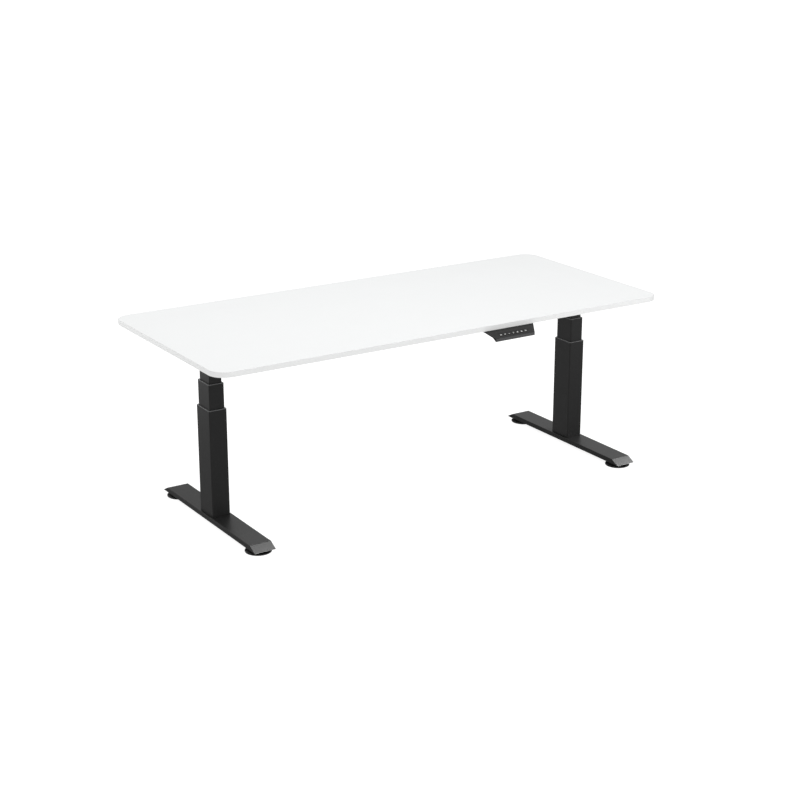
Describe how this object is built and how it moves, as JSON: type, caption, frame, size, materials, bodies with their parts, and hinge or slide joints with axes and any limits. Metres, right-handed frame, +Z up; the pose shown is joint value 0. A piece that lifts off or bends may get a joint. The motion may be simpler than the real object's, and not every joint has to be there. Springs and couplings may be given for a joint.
{
  "type": "height adjustable desk",
  "caption": "Wide white desktop with rounded corners on two black three-stage telescopic columns, low bar feet with round levelling pads, and a wedge keypad under the front edge.",
  "frame": {"origin": "on the floor, at the centre of the overall outline, which is the desktop with the keypad in front of it", "axes": "+X along the desktop to the user's right, +Y away from the user, +Z up; the keypad is at -Y"},
  "size_m": [1.8, 0.84, 0.636],
  "materials": {
    "tabletop_white": "white melamine, very fine satin texture",
    "edge_band_white": "white plastic edge band, satin",
    "zinc_steel": "bright zinc plating",
    "rubber_black": "black rubber",
    "frame_black": "black powder coat, fine texture",
    "column_black": "black powder coat, fine texture, low sheen",
    "foot_black": "black powder coat, fine texture, low sheen",
    "glide_black": "black acetal, smooth",
    "nut_plastic": "natural acetal",
    "gear_bronze": "machined bronze",
    "die_cast_grey": "die-cast aluminium, as cast",
    "motor_black": "black enamel",
    "ground_steel": "ground and lightly greased steel",
    "pad_plastic": "black moulded nylon",
    "keypad_plastic": "black moulded plastic, fine spark texture",
    "button_plastic": "black moulded plastic with a small white mark",
    "circuit_board": "green solder mask",
    "box_plastic": "black moulded plastic, fine texture"
  },
  "bodies": {
    "base": {"left_outer_tube": "column_black", "right_outer_tube": "column_black", "outer_tube_glides": "glide_black", "lower_nuts": "nut_plastic", "support_tubes": "zinc_steel", "left_foot": "foot_black", "right_foot": "foot_black", "foot_bolts": "zinc_steel"},
    "left_mid": {"left_middle_tube": "column_black", "left_middle_tube_glides": "glide_black", "left_carrier_tube": "zinc_steel", "left_upper_nut": "nut_plastic"},
    "right_mid": {"right_middle_tube": "column_black", "right_middle_tube_glides": "glide_black", "right_carrier_tube": "zinc_steel", "right_upper_nut": "nut_plastic"},
    "left_upper_screw": {"left_upper_spindle": "ground_steel", "left_worm_wheel": "gear_bronze"},
    "left_lower_screw": {"left_lower_spindle": "ground_steel"},
    "right_upper_screw": {"right_upper_spindle": "ground_steel", "right_worm_wheel": "gear_bronze"},
    "right_lower_screw": {"right_lower_spindle": "ground_steel"},
    "left_front_pad": {"left_front_pad": "pad_plastic"},
    "left_front_stud": {"left_front_stud": "zinc_steel"},
    "left_back_pad": {"left_back_pad": "pad_plastic"},
    "left_back_stud": {"left_back_stud": "zinc_steel"},
    "right_front_pad": {"right_front_pad": "pad_plastic"},
    "right_front_stud": {"right_front_stud": "zinc_steel"},
    "right_back_pad": {"right_back_pad": "pad_plastic"},
    "right_back_stud": {"right_back_stud": "zinc_steel"},
    "up_button": {"up_button": "button_plastic"},
    "down_button": {"down_button": "button_plastic"},
    "preset_button_1": {"preset_button_1": "button_plastic"},
    "preset_button_2": {"preset_button_2": "button_plastic"},
    "preset_button_3": {"preset_button_3": "button_plastic"},
    "preset_button_4": {"preset_button_4": "button_plastic"},
    "memory_button": {"memory_button": "button_plastic"},
    "top": {"desktop_panel": "tabletop_white", "edge_band": "edge_band_white", "wood_screws": "zinc_steel", "damping_pads": "rubber_black", "left_side_bracket": "frame_black", "right_side_bracket": "frame_black", "left_head_frame": "frame_black", "right_head_frame": "frame_black", "centre_rails": "frame_black", "frame_bolts": "zinc_steel", "left_inner_tube": "column_black", "right_inner_tube": "column_black", "inner_tube_glides": "glide_black", "gearbox_housings": "die_cast_grey", "gearbox_covers": "die_cast_grey", "gearbox_bearings": "ground_steel", "motor_cans": "motor_black", "left_motor_rotor": "ground_steel", "right_motor_rotor": "ground_steel", "keypad_housing": "keypad_plastic", "circuit_boards": "circuit_board", "control_box_shell": "box_plastic", "control_box_lid": "box_plastic"}
  },
  "joints": [
    {"name": "left_lower_lift", "type": "slide", "parent": "base", "child": "left_mid", "axis": [0, 0, 1], "range_m": [-0.07, 0.21]},
    {"name": "left_upper_lift", "type": "slide", "parent": "left_mid", "child": "top", "axis": [0, 0, 1], "range_m": [-0.07, 0.21]},
    {"name": "right_lower_lift", "type": "slide", "parent": "base", "child": "right_mid", "axis": [0, 0, 1], "range_m": [-0.07, 0.21]},
    {"name": "left_upper_spindle_spin", "type": "hinge", "parent": "top", "child": "left_upper_screw", "pos_m": [-0.755, -0.038, 0.59], "axis": [0, 0, 1], "range_deg": [-2520, 7560]},
    {"name": "left_lower_spindle_spin", "type": "hinge", "parent": "left_mid", "child": "left_lower_screw", "pos_m": [-0.755, -0.038, 0.47], "axis": [0, 0, 1], "range_deg": [-2520, 7560]},
    {"name": "right_upper_spindle_spin", "type": "hinge", "parent": "top", "child": "right_upper_screw", "pos_m": [0.755, -0.038, 0.59], "axis": [0, 0, 1], "range_deg": [-2520, 7560]},
    {"name": "right_lower_spindle_spin", "type": "hinge", "parent": "right_mid", "child": "right_lower_screw", "pos_m": [0.755, -0.038, 0.47], "axis": [0, 0, 1], "range_deg": [-2520, 7560]},
    {"name": "left_front_pad_travel", "type": "slide", "parent": "base", "child": "left_front_pad", "axis": [0, 0, -1], "range_m": [0, 0.008]},
    {"name": "left_front_stud_turn", "type": "hinge", "parent": "left_front_pad", "child": "left_front_stud", "pos_m": [-0.755, -0.347, 0.01], "axis": [0, 0, -1], "range_deg": [0, 1920]},
    {"name": "left_back_pad_travel", "type": "slide", "parent": "base", "child": "left_back_pad", "axis": [0, 0, -1], "range_m": [0, 0.008]},
    {"name": "left_back_stud_turn", "type": "hinge", "parent": "left_back_pad", "child": "left_back_stud", "pos_m": [-0.755, 0.243, 0.01], "axis": [0, 0, -1], "range_deg": [0, 1920]},
    {"name": "right_front_pad_travel", "type": "slide", "parent": "base", "child": "right_front_pad", "axis": [0, 0, -1], "range_m": [0, 0.008]},
    {"name": "right_front_stud_turn", "type": "hinge", "parent": "right_front_pad", "child": "right_front_stud", "pos_m": [0.755, -0.347, 0.01], "axis": [0, 0, -1], "range_deg": [0, 1920]},
    {"name": "right_back_pad_travel", "type": "slide", "parent": "base", "child": "right_back_pad", "axis": [0, 0, -1], "range_m": [0, 0.008]},
    {"name": "right_back_stud_turn", "type": "hinge", "parent": "right_back_pad", "child": "right_back_stud", "pos_m": [0.755, 0.243, 0.01], "axis": [0, 0, -1], "range_deg": [0, 1920]},
    {"name": "up_button_press", "type": "slide", "parent": "top", "child": "up_button", "axis": [0, 0.4472, -0.8944], "range_m": [0, 0.0008], "stiffness_N_per_m": 1000, "springref_m": -0.0005},
    {"name": "down_button_press", "type": "slide", "parent": "top", "child": "down_button", "axis": [0, 0.4472, -0.8944], "range_m": [0, 0.0008], "stiffness_N_per_m": 1000, "springref_m": -0.0005},
    {"name": "preset_button_1_press", "type": "slide", "parent": "top", "child": "preset_button_1", "axis": [0, 0.4472, -0.8944], "range_m": [0, 0.0008], "stiffness_N_per_m": 1000, "springref_m": -0.0005},
    {"name": "preset_button_2_press", "type": "slide", "parent": "top", "child": "preset_button_2", "axis": [0, 0.4472, -0.8944], "range_m": [0, 0.0008], "stiffness_N_per_m": 1000, "springref_m": -0.0005},
    {"name": "preset_button_3_press", "type": "slide", "parent": "top", "child": "preset_button_3", "axis": [0, 0.4472, -0.8944], "range_m": [0, 0.0008], "stiffness_N_per_m": 1000, "springref_m": -0.0005},
    {"name": "preset_button_4_press", "type": "slide", "parent": "top", "child": "preset_button_4", "axis": [0, 0.4472, -0.8944], "range_m": [0, 0.0008], "stiffness_N_per_m": 1000, "springref_m": -0.0005},
    {"name": "memory_button_press", "type": "slide", "parent": "top", "child": "memory_button", "axis": [0, 0.4472, -0.8944], "range_m": [0, 0.0008], "stiffness_N_per_m": 1000, "springref_m": -0.0005}
  ],
  "couplings": [
    {"joint": "left_upper_lift", "follows": "left_lower_lift", "ratio": 1},
    {"joint": "right_lower_lift", "follows": "left_lower_lift", "ratio": 1},
    {"joint": "left_upper_spindle_spin", "follows": "left_lower_lift", "rad_per_m": 628.32},
    {"joint": "left_lower_spindle_spin", "follows": "left_lower_lift", "rad_per_m": 628.32},
    {"joint": "right_upper_spindle_spin", "follows": "left_lower_lift", "rad_per_m": 628.32},
    {"joint": "right_lower_spindle_spin", "follows": "left_lower_lift", "rad_per_m": 628.32},
    {"joint": "left_front_stud_turn", "follows": "left_front_pad_travel", "rad_per_m": 4188.8},
    {"joint": "left_back_stud_turn", "follows": "left_back_pad_travel", "rad_per_m": 4188.8},
    {"joint": "right_front_stud_turn", "follows": "right_front_pad_travel", "rad_per_m": 4188.8},
    {"joint": "right_back_stud_turn", "follows": "right_back_pad_travel", "rad_per_m": 4188.8}
  ]
}
